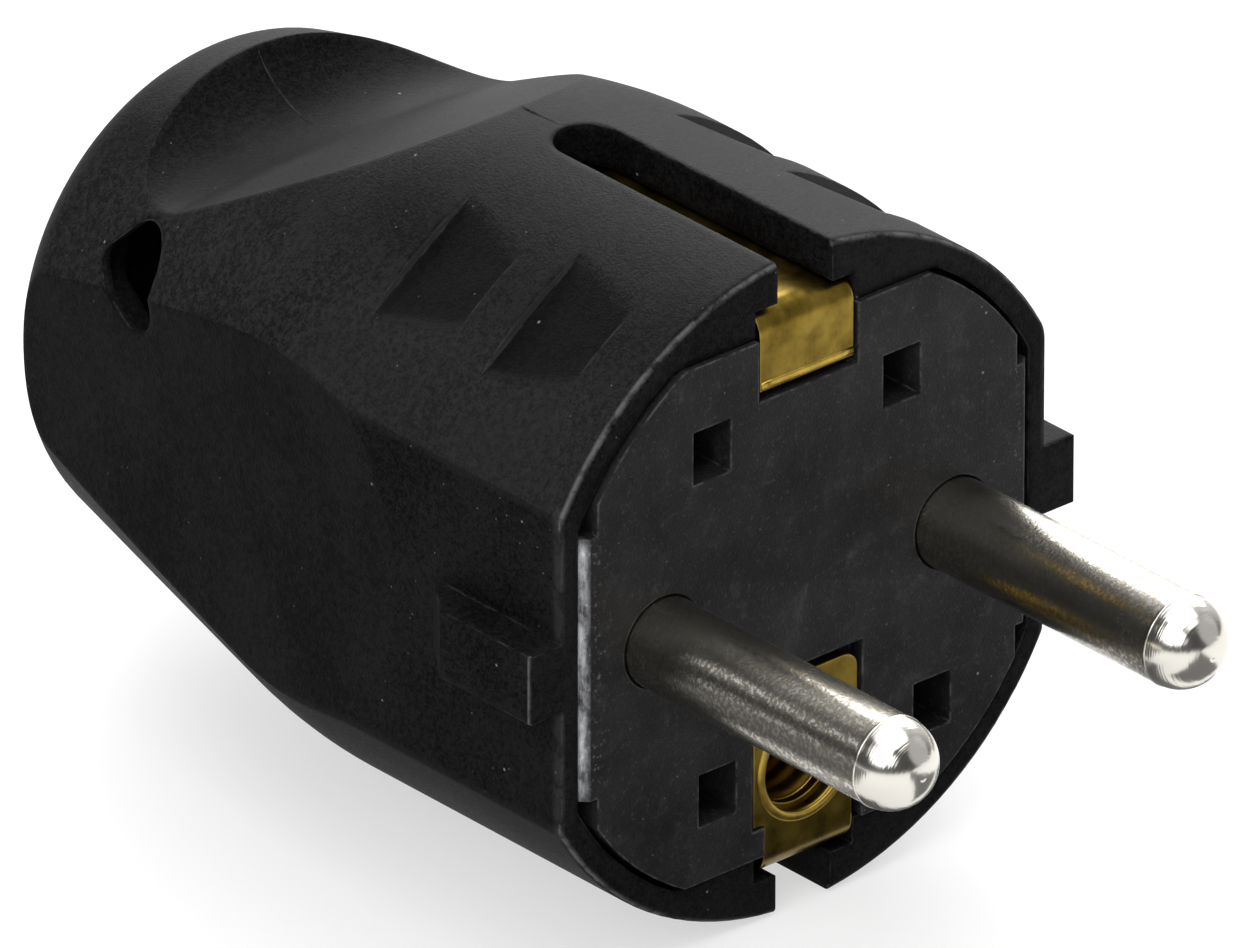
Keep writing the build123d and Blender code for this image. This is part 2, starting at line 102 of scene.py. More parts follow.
class Wire:
    """A socket in a node tree. Arithmetic on it adds Math nodes."""

    def __init__(self, tree, socket=None):
        self.tree = tree
        self.socket = socket

    def feed(self, target, value):
        """Link a wire to a socket, or write a plain value into it."""
        if isinstance(value, Wire):
            self.tree.links.new(value.socket, target)
        else:
            target.default_value = value

    def add(self, kind, settings=None, inputs=None, out=0):
        """Add a node, its settings first and its sockets second; give one output or a list."""
        node = self.tree.nodes.new(kind)
        for key, value in (settings or {}).items():
            setattr(node, key, value)
        for key, value in (inputs or {}).items():
            self.feed(node.inputs[key], value)
        if isinstance(out, tuple):
            return [Wire(self.tree, node.outputs[key]) for key in out]
        return Wire(self.tree, node.outputs[out])

    def math(self, operation, left, right=0.0):
        """One Math node."""
        return self.add("ShaderNodeMath", {"operation": operation}, {0: left, 1: right})

    def __add__(self, other):
        return self.math("ADD", self, other)

    def __radd__(self, other):
        return self.math("ADD", other, self)

    def __sub__(self, other):
        return self.math("SUBTRACT", self, other)

    def __rsub__(self, other):
        return self.math("SUBTRACT", other, self)

    def __mul__(self, other):
        return self.math("MULTIPLY", self, other)

    def __rmul__(self, other):
        return self.math("MULTIPLY", other, self)

    def __pow__(self, other):
        return self.math("POWER", self, other)

    def __abs__(self):
        return self.math("ABSOLUTE", self)

    def dot(self, other):
        """How far two directions agree: 1 for the same one, 0 at a right angle."""
        sockets = {0: self, 1: other}
        return self.add("ShaderNodeVectorMath", {"operation": "DOT_PRODUCT"}, sockets, out="Value")

    def step(self, low, high):
        """0 below low, 1 above high, and a smooth rise between them."""
        settings = {"interpolation_type": "SMOOTHSTEP"}
        ends = {"Value": self, "From Min": low, "From Max": high, "To Min": 0.0, "To Max": 1.0}
        return self.add("ShaderNodeMapRange", settings, ends)

    def fall(self, low, high):
        """1 below low, 0 above high: one minus a step."""
        return 1.0 - self.step(low, high)

    def tint(self, dark, light):
        """A colour between two colours, with this wire as the share of the second."""
        # A Mix node's colours are its sockets 6 and 7, and the mixed colour is its output 2.
        sockets = {0: self, 6: dark, 7: light}
        return self.add("ShaderNodeMix", {"data_type": "RGBA"}, sockets, out=2)

    def parts(self):
        """The three numbers of a vector."""
        return self.add("ShaderNodeSeparateXYZ", {}, {0: self}, out=("X", "Y", "Z"))

    def noise(self, scale, detail, roughness):
        """Noise in this wire's coordinates; its features are about 1 / scale long."""
        sockets = {"Vector": self, "Scale": scale, "Detail": detail, "Roughness": roughness}
        return self.add("ShaderNodeTexNoise", {}, sockets)

    def stretched(self, x, y, z):
        """These coordinates with each axis multiplied."""
        return self.add("ShaderNodeMapping", {}, {"Vector": self, "Scale": (x, y, z)})


print("methods of a wire:", [name for name, value in vars(Wire).items() if callable(value)])

# %% [markdown]
# ## Helpers that every finish shares
#
# A moulded or stamped edge is never sharp. The edges could be bevelled in the mesh, but a rounded
# normal costs no faces, and comparing it with the true normal also finds the edges, which is where
# wear belongs. Pale specks come from a Voronoi pattern, as a dot at the seed of some of its cells.

# %% Edges, bumps and specks
BEVEL_SAMPLES = 6
SPECK_CORE = 0.5
SPECK_PICK_SOFTNESS = 0.02


def start_finish(name):
    """A new material: gives it with a wire of Object coordinates and its shader node."""
    material = bpy.data.materials.new(name)
    material.use_nodes = True
    tree = material.node_tree
    shader = tree.nodes["Principled BSDF"]
    place = Wire(tree).add("ShaderNodeTexCoord", out="Object")
    return material, place, shader


def connect(place, shader, **sockets):
    """Feed the shader's sockets, written with underscores for spaces."""
    for key, value in sockets.items():
        place.feed(shader.inputs[key.replace("_", " ")], value)


def soft_edge_normal(place, radius):
    """Normal rounded over sharp edges, as moulding and stamping leave them."""
    return place.add("ShaderNodeBevel", {"samples": BEVEL_SAMPLES}, {"Radius": radius})


def true_normal(place):
    """Normal of the surface as it is."""
    return place.add("ShaderNodeNewGeometry", out="Normal")


def edge_mask(place, radius, low, high):
    """1 near edges: how far the rounded normal turns away from the true one."""
    return (1.0 - soft_edge_normal(place, radius).dot(true_normal(place))).step(low, high)


def bumped(place, height, strength, depth, edge_radius=None):
    """Normal tilted by a height map of a given depth, over soft edges where a radius is given."""
    sockets = {"Strength": strength, "Distance": depth, "Height": height}
    if edge_radius:
        sockets["Normal"] = soft_edge_normal(place, edge_radius)
    return place.add("ShaderNodeBump", {}, sockets)


def specks(place, scale, size, share):
    """Small light dots: a dot at the seed of some cells of a Voronoi pattern."""
    sockets = {"Vector": place, "Scale": scale}
    distance, chance = place.add("ShaderNodeTexVoronoi", {}, sockets, out=("Distance", "Color"))
    pick = chance.parts()[0].step(1.0 - share, 1.0 - share + SPECK_PICK_SOFTNESS)
    return distance.fall(size * SPECK_CORE, size) * pick


print("edges are rounded with", BEVEL_SAMPLES, "samples")

# %% [markdown]
# ## Where the hood is worn, and where light and shade are painted
#
# Handling marks a plug in known places. The front edge of the rim has a thin bright worn line.
# The other masks paint light and shade: a painted highlight where the flats end in the rim, a
# painted sheen that makes the turned body and its slanted shoulders greyer and more speckled than
# the flats, painted shade on the floors of the grip notches, and painted light on their steps, on
# the right more than on the left. Such places could be painted by hand, but the hood is turned
# about Y, so its radius, its coordinates and the slant of its surface find them exactly, at any
# resolution.

# %% Masks on the hood
# A pair is where a mask starts and where it is full or gone: metres for places and radii, and a
# part of the normal for facing and slant. The single amounts say how strong a mask is.
RIM_EDGE_Y = 0.00045
RIM_LINE_WIDTH = (0.0, 0.00016)
RIM_LINE_RADIUS = (0.0177, 0.0178)
RIM_LINE_WEAR = 1.5
# The band where the flats end in the rim is a painted highlight of that rounded corner.
RIM_BAND_WIDTH = (0.0001, 0.0007)
RIM_BAND_X = (0.0155, 0.0157)
RIM_BAND_Z = (0.0018, 0.0022)
RIM_BAND_HIGHLIGHT = 0.30
# The turned body gets a painted sheen, more of it low on the shoulders than on top.
TURNED_RADIUS = (0.0178, 0.0180)
TURNED_END_Y = (0.0190, 0.0240)
SHOULDER_Z = (0.0100, 0.0160)
TOP_SHEEN = 0.15
SHOULDER_SHEEN = 0.40
# The floors of the notches get painted shade.
NOTCH_RADIUS = (0.01790, 0.01800)
NOTCH_Z = (0.0112, 0.0118)
NOTCH_X = (0.0052, 0.0058)
NOTCH_FRONT_Y = (0.0036, 0.0040)
NOTCH_REAR_Y = (0.0172, 0.0176)
# The notch steps get painted light, more on the right than on the left.
STEP_FACING = (0.6, 0.95)
STEP_RADIUS = (0.0164, 0.0168)
STEP_X = (0.004, 0.006)
STEP_Y = (0.003, 0.004)
LEFT_STEP_LIGHT = 0.40
RIGHT_STEP_LIGHT = 1.0
LEFT_TO_RIGHT_X = (-0.001, 0.001)
# The slanted shoulders get a painted sheen, speckled by the grain.
SLANT_START = (0.50, 0.75)
SLANT_END = (0.93, 0.99)
SLANT_UP = (0.08, 0.25)


def rim_wear_and_highlight(x, y, z, radius):
    """Worn line round the rim's front edge, and a painted highlight band where the flats end in it.
    """
    from_edge = abs(y - RIM_EDGE_Y)
    line = from_edge.fall(*RIM_LINE_WIDTH) * radius.step(*RIM_LINE_RADIUS)
    band = from_edge.fall(*RIM_BAND_WIDTH) * abs(x).step(*RIM_BAND_X) * abs(z).step(*RIM_BAND_Z)
    return line * RIM_LINE_WEAR + band * RIM_BAND_HIGHLIGHT


def turned_body_sheen(y, z, radius):
    """Painted sheen on the turned body, more of it low on the shoulders than on top."""
    body = radius.step(*TURNED_RADIUS) * y.fall(*TURNED_END_Y)
    return body * (TOP_SHEEN + SHOULDER_SHEEN * abs(z).fall(*SHOULDER_Z))


def notch_floors(x, y, z, radius):
    """1 where the shoulders lie below the turned radius, between the ends of the notches."""
    sunk = radius.fall(*NOTCH_RADIUS) * z.step(*NOTCH_Z) * abs(x).step(*NOTCH_X)
    return sunk * y.step(*NOTCH_FRONT_Y) * y.fall(*NOTCH_REAR_Y)


def lit_notch_steps(x, y, radius, along):
    """Painted light on the steps of the notches, which face the pins; along is the normal's part in
    Y.
    """
    steps = (0.0 - along).step(*STEP_FACING) * abs(x).step(*STEP_X) * y.step(*STEP_Y)
    dust_and_step_light = LEFT_STEP_LIGHT + (RIGHT_STEP_LIGHT - LEFT_STEP_LIGHT) * x.step(*LEFT_TO_RIGHT_X)
    return steps * radius.step(*STEP_RADIUS) * dust_and_step_light


def slanted_shoulders(across, upward):
    """1 where the hood slants from its top to its flats, by the normal's parts in X and Z; a
    painted sheen goes there.
    """
    return abs(across).step(*SLANT_START) * abs(across).fall(*SLANT_END) * upward.step(*SLANT_UP)


print("the rim's line lies at", RIM_EDGE_Y / MM, "mm")

# %% [markdown]
# ## Black moulded plastic of the hood
#
# The hood comes from a spark-eroded mould, so its skin has a fine even grain that scatters light
# to a grey haze. Handling has left grey wear on the edges and a few pale specks. A single dark
# colour with one roughness would look like paint, so grain drives the bump and the roughness, a
# slow cloud shifts the tone, and the masks add the wear and the painted light and shade.

# %% Finish of the hood
# A noise is given as its scale per metre, detail and roughness; specks as scale, size and share.
HOOD_DARK = (0.0030, 0.0029, 0.0032, 1.0)
# Grey of the grain's haze, and of the painted sheen on the turned body.
HOOD_HAZE_AND_SHEEN = (0.0122, 0.0119, 0.0126, 1.0)
# Grey of worn edges, also used for the painted highlight band on the rim.
WORN_AND_HIGHLIGHT_GREY = (0.200, 0.198, 0.200, 1.0)
SPECK_GREY = (0.300, 0.300, 0.300, 1.0)
# Grey of the painted light on the notch steps.
STEP_LIGHT_GREY = (0.050, 0.049, 0.049, 1.0)
# Grey of the painted sheen on the slanted shoulders.
SHOULDER_SHEEN_GREY = (0.0300, 0.0293, 0.0300, 1.0)
SHOULDER_SHEEN_SHARE = 0.12
SHOULDER_SHEEN_SPECKLE_SHARE = 0.33
SHOULDER_SPECKLE_RISE = (0.42, 0.62)
HOOD_GRAIN = (6500.0, 2.0, 0.7)
HOOD_COARSE_GRAIN = (2600.0, 2.0, 0.6)
HOOD_CLOUD = (170.0, 3.0, 0.5)
HOOD_RUB = (900.0, 3.0, 0.65)
HOOD_LARGE_SPECKS = (520.0, 0.055, 0.30)
HOOD_SMALL_SPECKS = (1150.0, 0.075, 0.30)
HOOD_HAZE_RISE = (0.32, 0.68)
HOOD_WEAR_RADIUS = 0.00026
HOOD_WEAR_RISE = (0.06, 0.32)
EDGE_RUB_RISE = (0.40, 0.64)
RIM_RUB_RISE = (0.30, 0.60)
MOULDED_EDGE_WEAR = 0.75
HOOD_EDGE_SHARE = 0.28
NOTCH_SHADE_SHARE = 0.55
SPECK_SHARE = 0.5
HOOD_ROUGH = 0.50
HOOD_SPECULAR = 0.022
HOOD_EDGE_RADIUS = 0.00055
HOOD_BUMP_DEPTH = 0.00008
HOOD_BUMP_STRENGTH = 0.55
RIDGE_WEAR = 0.12


def make_hood_plastic(name, wear):
    """Grained black plastic with haze, specks, worn edges and painted light and shade; wear
    lightens the whole piece.

    The haze is a smooth step of 0.7 grain + 0.4 coarse grain + 0.4 cloud - 0.25, plus the painted
    sheen of the turned body. The bump is three quarters grain and one quarter coarse grain.
    """
    material, place, shader = start_finish(name)
    x, y, z = place.parts()
    radius = (x * x + z * z) ** 0.5
    grain = place.noise(*HOOD_GRAIN)
    coarse = place.noise(*HOOD_COARSE_GRAIN)
    cloud = place.noise(*HOOD_CLOUD)
    rub = place.noise(*HOOD_RUB)
    edge = edge_mask(place, HOOD_WEAR_RADIUS, *HOOD_WEAR_RISE) * rub.step(*EDGE_RUB_RISE)
    # The rim's band is a painted highlight, added to the worn edges' grey.
    edge = edge * MOULDED_EDGE_WEAR + rim_wear_and_highlight(x, y, z, radius) * rub.step(*RIM_RUB_RISE)
    dots = specks(place, *HOOD_LARGE_SPECKS) + specks(place, *HOOD_SMALL_SPECKS) * 0.5
    haze = (grain * 0.7 + coarse * 0.4 + cloud * 0.4 - 0.25).step(*HOOD_HAZE_RISE)
    across, along, upward = true_normal(place).parts()
    notch = notch_floors(x, y, z, radius)
    speckle = (grain * 0.5 + coarse * 0.5).step(*SHOULDER_SPECKLE_RISE)
    # Painted sheen on the slanted shoulders, speckled by the grain, left off the notch floors.
    shoulder_sheen = slanted_shoulders(across, upward) * (1.0 - notch)
    shoulder_sheen = shoulder_sheen * (SHOULDER_SHEEN_SHARE + SHOULDER_SHEEN_SPECKLE_SHARE * speckle)
    # Grain haze plus the painted sheen of the turned body.
    colour = (haze + turned_body_sheen(y, z, radius)).tint(HOOD_DARK, HOOD_HAZE_AND_SHEEN)
    colour = shoulder_sheen.tint(colour, SHOULDER_SHEEN_GREY)
    # Painted shade on the notch floors.
    colour = (notch * NOTCH_SHADE_SHARE).tint(colour, HOOD_DARK)
    # Painted light on the notch steps, lifting their shade.
    colour = lit_notch_steps(x, y, radius, along).tint(colour, STEP_LIGHT_GREY)
    colour = (edge * HOOD_EDGE_SHARE + wear).tint(colour, WORN_AND_HIGHLIGHT_GREY)
    colour = (dots * SPECK_SHARE).tint(colour, SPECK_GREY)
    rough = HOOD_ROUGH + (grain - 0.5) * 0.35 + (cloud - 0.5) * 0.10
    height = grain * 0.75 + coarse * 0.25
    normal = bumped(place, height, HOOD_BUMP_STRENGTH, HOOD_BUMP_DEPTH, HOOD_EDGE_RADIUS)
    connect(place, shader, Base_Color=colour, Roughness=rough, Normal=normal)
    connect(place, shader, Specular_IOR_Level=HOOD_SPECULAR)
    return material


hood_plastic = make_hood_plastic("hood_plastic", 0.0)
ridge_plastic = make_hood_plastic("ridge_plastic", RIDGE_WEAR)
print("made", hood_plastic.name, "and", ridge_plastic.name)

# %% [markdown]
# ## Smoother plastic of the carrier
#
# The carrier's face is moulded against a finer surface. It is a little browner and smoother than
# the hood, with dust and short rubbed marks from many sockets. The two side tongues rub against
# the hood on the way in, and their chamfers are almost white, partly from that wear and partly as
# a painted highlight of their edges. Those places are known, so a mask on the coordinates marks
# them.

# %% Finish of the carrier
CARRIER_DARK = (0.0090, 0.0086, 0.0088, 1.0)
CARRIER_HAZE = (0.0290, 0.0280, 0.0283, 1.0)
# White of the tongues' chamfers: partly wear, partly a painted highlight of their edges.
RUBBED_AND_HIGHLIGHT_WHITE = (0.520, 0.530, 0.550, 1.0)
CARRIER_GRAIN = (7500.0, 2.0, 0.7)
CARRIER_CLOUD = (230.0, 4.0, 0.6)
CARRIER_HAZE_RISE = (0.2, 0.8)
DUST = (3200.0, 4.0, 0.75)
DUST_RISE = (0.54, 0.76)
SMUDGE = (560.0, 5.0, 0.72)
SMUDGE_RISE = (0.50, 0.74)
SCUFF = (3000.0, 3.0, 0.6)
SCUFF_STRETCH = (1.0, 1.0, 0.22)
SCUFF_RISE = (0.60, 0.78)
CARRIER_LARGE_SPECKS = (600.0, 0.060, 0.30)
CARRIER_SMALL_SPECKS = (1300.0, 0.080, 0.30)
CARRIER_RUB = (1200.0, 3.0, 0.65)
CARRIER_RUB_RISE = (0.40, 0.62)
CARRIER_WEAR_RADIUS = 0.00025
CARRIER_WEAR_RISE = (0.03, 0.20)
CARRIER_EDGE_SHARE = 0.40
TONGUE_EDGE_X = (0.01412, 0.01448)
TONGUE_DUST_X = (0.0126, 0.0145)
TONGUE_END_Z = (0.0064, 0.0075)
TONGUE_FRONT_Y = (0.0006, 0.0009)
TONGUE_DUST = 0.60
TONGUE_STREAKS = (1500.0, 4.0, 0.7)
TONGUE_STRETCH = (1.0, 1.0, 0.35)
TONGUE_STREAK_RISE = (0.28, 0.70)
TONGUE_SHARE = 0.85
RIGHT_TONGUE_LESS_WHITE = 0.45
CARRIER_ROUGH = 0.44
CARRIER_SPECULAR = 0.08
CARRIER_EDGE_RADIUS = 0.00015
CARRIER_BUMP_DEPTH = 0.00006
CARRIER_BUMP_STRENGTH = 0.5


def tongue_wear_and_highlight(place, x, y, z, dust_and_step_light):
    """White of wear and painted highlight on the tongues' chamfers, dust inside them, streaked
    along Z.
    """
    worn = abs(x).step(*TONGUE_EDGE_X) + abs(x).step(*TONGUE_DUST_X) * dust_and_step_light * TONGUE_DUST
    worn = worn * abs(z).fall(*TONGUE_END_Z) * y.fall(*TONGUE_FRONT_Y)
    streaks = place.stretched(*TONGUE_STRETCH).noise(*TONGUE_STREAKS).step(*TONGUE_STREAK_RISE)
    return worn * streaks * (1.0 - RIGHT_TONGUE_LESS_WHITE * x.step(*LEFT_TO_RIGHT_X))


def make_carrier_plastic():
    """Finely grained plastic with dust, smudges, scuffs, rubbed edges and white tongues.

    The haze is a smooth step of 0.5 grain + 0.7 cloud - 0.2. Scuffs show only inside smudges. The
    tongues' white is partly wear and partly a painted highlight of their edges.
    """
    material, place, shader = start_finish("carrier_plastic_finish")
    x, y, z = place.parts()
    grain = place.noise(*CARRIER_GRAIN)
    cloud = place.noise(*CARRIER_CLOUD)
    dust_and_step_light = place.noise(*DUST).step(*DUST_RISE)
    smudge = place.noise(*SMUDGE).step(*SMUDGE_RISE)
    scuff = place.stretched(*SCUFF_STRETCH).noise(*SCUFF).step(*SCUFF_RISE)
    dots = specks(place, *CARRIER_LARGE_SPECKS) + specks(place, *CARRIER_SMALL_SPECKS) * 0.6
    rub = place.noise(*CARRIER_RUB).step(*CARRIER_RUB_RISE)
    edge = edge_mask(place, CARRIER_WEAR_RADIUS, *CARRIER_WEAR_RISE) * rub
    haze = (grain * 0.5 + cloud * 0.7 - 0.2).step(*CARRIER_HAZE_RISE)
    colour = haze.tint(CARRIER_DARK, CARRIER_HAZE)
    colour = (dust_and_step_light * 0.12 + smudge * 0.05 + scuff * smudge * 0.16).tint(colour, SPECK_GREY)
    colour = (edge * CARRIER_EDGE_SHARE).tint(colour, WORN_AND_HIGHLIGHT_GREY)
    # Tongue chamfers: white of wear and of a painted highlight.
    colour = (tongue_wear_and_highlight(place, x, y, z, dust_and_step_light) * TONGUE_SHARE).tint(colour, RUBBED_AND_HIGHLIGHT_WHITE)
    colour = (dots * SPECK_SHARE).tint(colour, SPECK_GREY)
    rough = CARRIER_ROUGH + (grain - 0.5) * 0.24 + (cloud - 0.5) * 0.14
    normal = bumped(place, grain, CARRIER_BUMP_STRENGTH, CARRIER_BUMP_DEPTH, CARRIER_EDGE_RADIUS)
    connect(place, shader, Base_Color=colour, Roughness=rough, Normal=normal)
    connect(place, shader, Specular_IOR_Level=CARRIER_SPECULAR)
    return material


carrier_plastic = make_carrier_plastic()
print("made", carrier_plastic.name)

# %% [markdown]
# ## Nickel on the pins
#
# The pins are turned brass with a nickel plate. The shaft has a dull satin skin with brighter
# flecks where it is worn, and the ball end was formed in a polished die that left fine rings. Two
# materials would need a split mesh. One metal with two roughnesses, told apart by the distance
# along the pin, gives both.

# %% Finish of the pins
NICKEL_DULL = (0.430, 0.400, 0.335, 1.0)
NICKEL_BRIGHT = (0.840, 0.815, 0.755, 1.0)
BALL_FROM_FACE = (0.0165, 0.0167)
SHAFT_MOTTLE = (6500.0, 3.0, 0.7)
SHAFT_FLECKS = (4200.0, 3.0, 0.65)
FLECK_RISE = (0.46, 0.60)
SHAFT_PATCH = (420.0, 2.0, 0.5)
BALL_RINGS = (9000.0, 2.0, 0.6)
RING_STRETCH = (0.03, 1.0, 0.03)
RING_DEPTH_SHARE = 1.6
BRIGHT_SHARE = 0.8
SHAFT_ROUGH = 0.26
BALL_ROUGH = 0.19
PIN_BUMP_DEPTH = 0.000030
PIN_BUMP_STRENGTH = 0.40


def make_pin_nickel():
    """Satin nickel shaft with bright flecks, and a polished ball end with turned rings."""
    material, place, shader = start_finish("pin_nickel")
    from_face = 0.0 - place.parts()[1]
    ball = from_face.step(*BALL_FROM_FACE)
    shaft = 1.0 - ball
    mottle = place.noise(*SHAFT_MOTTLE)
    flecks = place.noise(*SHAFT_FLECKS).step(*FLECK_RISE)
    patch = place.noise(*SHAFT_PATCH)
    rings = place.stretched(*RING_STRETCH).noise(*BALL_RINGS)
    rough = (SHAFT_ROUGH - flecks * 0.10 + (patch - 0.5) * 0.08) * shaft + BALL_ROUGH * ball
    bright = ball * BRIGHT_SHARE + flecks * BRIGHT_SHARE * shaft
    colour = bright.tint(NICKEL_DULL, NICKEL_BRIGHT)
    height = mottle * shaft + rings * ball * RING_DEPTH_SHARE
    normal = bumped(place, height, PIN_BUMP_STRENGTH, PIN_BUMP_DEPTH)
    connect(place, shader, Base_Color=colour, Roughness=rough, Normal=normal, Metallic=1.0)
    return material


pin_nickel = make_pin_nickel()
print("made", pin_nickel.name)

# %% [markdown]
# ## Brass sheet
#
# The earth strap and its sleeve are stamped from rolled brass. Rolling leaves fine lines along
# the strip, and stamping leaves brighter, rounded edges. The lines could be a bump, but at this
# size they show only as tone, so they are noise stretched along the strip. A lighter copy of the
# same brass, for the hole's ring, the ribs and the flap's curl, is painted light: it stands in for
# the light that reaches them.

# %% Finish of the strap
BRASS_DEEP = (0.105, 0.068, 0.008, 1.0)
BRASS_LIGHT = (0.290, 0.200, 0.034, 1.0)
BRASS_BRIGHT = (0.640, 0.440, 0.085, 1.0)
ROLLED_LINES = (9000.0, 2.0, 0.5)
ROLLED_STRETCH = (1.0, 0.08, 0.08)
BRASS_PATCH = (600.0, 4.0, 0.6)
BRASS_TONE_RISE = (0.25, 0.75)
BRASS_WEAR_RADIUS = 0.00025
BRASS_WEAR_RISE = (0.03, 0.25)
BRASS_EDGE_SHARE = 0.6
BRASS_ROUGH = 0.30
BRASS_EDGE_RADIUS = 0.00012
BRASS_BUMP_DEPTH = 0.00002
BRASS_BUMP_STRENGTH = 0.20


def make_sheet_brass(name, deep, light):
    """Rolled brass between two tones, with fine lines, darker patches and bright edges."""
    material, place, shader = start_finish(name)
    lines = place.stretched(*ROLLED_STRETCH).noise(*ROLLED_LINES)
    patch = place.noise(*BRASS_PATCH)
    edge = edge_mask(place, BRASS_WEAR_RADIUS, *BRASS_WEAR_RISE)
    colour = (patch * 0.92 + lines * 0.08).step(*BRASS_TONE_RISE).tint(deep, light)
    colour = (edge * BRASS_EDGE_SHARE).tint(colour, BRASS_BRIGHT)
    rough = BRASS_ROUGH + (patch - 0.5) * 0.20 + (lines - 0.5) * 0.04
    normal = bumped(place, patch, BRASS_BUMP_STRENGTH, BRASS_BUMP_DEPTH, BRASS_EDGE_RADIUS)
    connect(place, shader, Base_Color=colour, Roughness=rough, Normal=normal, Metallic=1.0)
    return material


rolled_brass = make_sheet_brass("rolled_brass", BRASS_DEEP, BRASS_LIGHT)
# A lighter copy of the brass for the ring, the ribs and the curl: painted light.
lit_brass_copy = make_sheet_brass("lit_brass_copy", BRASS_LIGHT, BRASS_BRIGHT)
print("made", rolled_brass.name, "and", lit_brass_copy.name)

# %% [markdown]
# ## Zinc on the screws
#
# The screws sit deep inside and hardly show, but they still get their bluish zinc. A flake of
# noise between two tones is enough for a surface this small.

# %% Finish of the screws
ZINC_DARK = (0.420, 0.430, 0.450, 1.0)
ZINC_LIGHT = (0.640, 0.650, 0.660, 1.0)
ZINC_FLAKE = (2400.0, 3.0, 0.6)
ZINC_RISE = (0.3, 0.7)
ZINC_ROUGH = 0.32


def make_screw_zinc():
    """Zinc plate with a slight flake in its tone and its roughness."""
    material, place, shader = start_finish("screw_zinc")
    flake = place.noise(*ZINC_FLAKE)
    colour = flake.step(*ZINC_RISE).tint(ZINC_DARK, ZINC_LIGHT)
    rough = ZINC_ROUGH + (flake - 0.5) * 0.2
    connect(place, shader, Base_Color=colour, Roughness=rough, Metallic=1.0)
    return material


screw_zinc = make_screw_zinc()
print("made", screw_zinc.name)

# %% [markdown]
# ## Dressing the solids
#
# Each solid is one piece of one material on the real plug, so it keeps its shape and only gets its
# finish, in the first slot of its mesh.

# %% Assign the finishes
FINISH_OF_NODE = {
    "hood": hood_plastic,
    "contact_carrier": carrier_plastic,
    "cord_grip": carrier_plastic,
    "line_pin": pin_nickel,
    "neutral_pin": pin_nickel,
    "earth_strap": rolled_brass,
    "earth_sleeve": rolled_brass,
    "earth_clamp_washer": rolled_brass,
    "terminal_screws": screw_zinc,
    "cord_grip_screws": screw_zinc,
}


def dress(thing, material):
    """Give a mesh one finish in its first slot."""
    thing.data.materials.clear()
    thing.data.materials.append(material)


for node_name, material in FINISH_OF_NODE.items():
    dress(nodes[node_name], material)
print("dressed", len(FINISH_OF_NODE), "solids")

# %% [markdown]
# ## Surfaces from arrays
#
# The fine details are surfaces worked out as whole arrays: a closed outline carried along a path,
# or turned round an axis. They could be modelled by hand, but both give a grid of points that a
# few lines of numpy fill at once. The grid is closed along the outline, and either closed along
# the path or capped at its two ends.

# %% Grid helpers


def grid_piece(name, points, material, ring):
    """Mesh of a grid of points in mm, rows along the path and columns round the outline.

    Each quad joins (row, column) with the next row and the next column, taken modulo the number
    of columns, and modulo the number of rows where the path is a ring. Open ends are capped.
    """
    rows, columns = points.shape[:2]
    number = np.arange(rows * columns).reshape(rows, columns)
    ahead = np.roll(number, -1, axis=0) if ring else number[1:]
    here = number if ring else number[:-1]
    quads = np.stack([here, np.roll(here, -1, axis=1), np.roll(ahead, -1, axis=1), ahead], axis=-1)
    faces = quads.reshape(-1, 4).tolist()
    if not ring:
        faces += [number[0].tolist(), number[-1].tolist()]
    mesh = bpy.data.meshes.new(name)
    mesh.from_pydata((points.reshape(-1, 3) * MM).tolist(), [], faces)
    shape = bmesh.new()
    shape.from_mesh(mesh)
    bmesh.ops.recalc_face_normals(shape, faces=shape.faces)
    shape.to_mesh(mesh)
    shape.free()
    mesh.shade_smooth()
    piece = bpy.data.objects.new(name, mesh)
    bpy.context.scene.collection.objects.link(piece)
    mesh.materials.append(material)
    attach(piece, "root")
    print(name, "faces:", len(faces))
    return piece


def ellipse_outline(across, out, count):
    """Closed ellipse: (across * cos t, out * sin t) for t round the circle."""
    t = np.linspace(0.0, 2.0 * math.pi, count, endpoint=False)
    return np.stack([across * np.cos(t), out * np.sin(t)], axis=-1)


def carried(path, side, up, outline, size):
    """Outline carried along a path: point + size * (u * side + v * up)."""
    scaled = outline[None, :, :] * size[:, None, None]
    return path[:, None, :] + scaled[..., :1] * side[:, None, :] + scaled[..., 1:] * up[:, None, :]


def turned(outline, x, z, count):
    """Outline of (radius, y) turned about the line along Y through x and z."""
    t = np.linspace(0.0, 2.0 * math.pi, count, endpoint=False)[:, None]
    radius = outline[None, :, 0]
    rows = [x + radius * np.cos(t), outline[None, :, 1] + 0.0 * t, z + radius * np.sin(t)]
    return np.stack(rows, axis=-1)


print("a grid of 3 by 4 points turns to", turned(np.ones((4, 2)), 0.0, 0.0, 3).shape)

# %% [markdown]
# ## Parting line of the mould
#
# Where the halves of the mould met, the hood carries a hair-fine ridge on its centre line. It
# shows best in the thumb hollow and on the top behind the contact slot. A bump could draw it, but
# a real ridge also has an outline and a side that catches the light. The hollow's section is a
# ramp that runs into an arc, so the path follows that arc by its angle, and the ridge fades out at
# both ends.

# %% The two ridges
HOLLOW_LOW_Y = 36.5
HOLLOW_FLOOR_Z = 11.0
HOLLOW_RADIUS = 5.2
HOLLOW_ANGLES_DEG = (-5.0, 60.0)
HOLLOW_RIDGE_ROWS = 40
HOOD_RADIUS = 18.05
TOP_RIDGE_Y = (18.15, 21.4)
TOP_RIDGE_ROWS = 12
TOP_RIDGE_SUNK = 0.01
RIDGE_HALF_WIDTH = 0.08
RIDGE_HEIGHT = 0.035
RIDGE_OUTLINE_POINTS = 10
RIDGE_FADE = 0.25
RIDGE_END_SIZE = 0.1


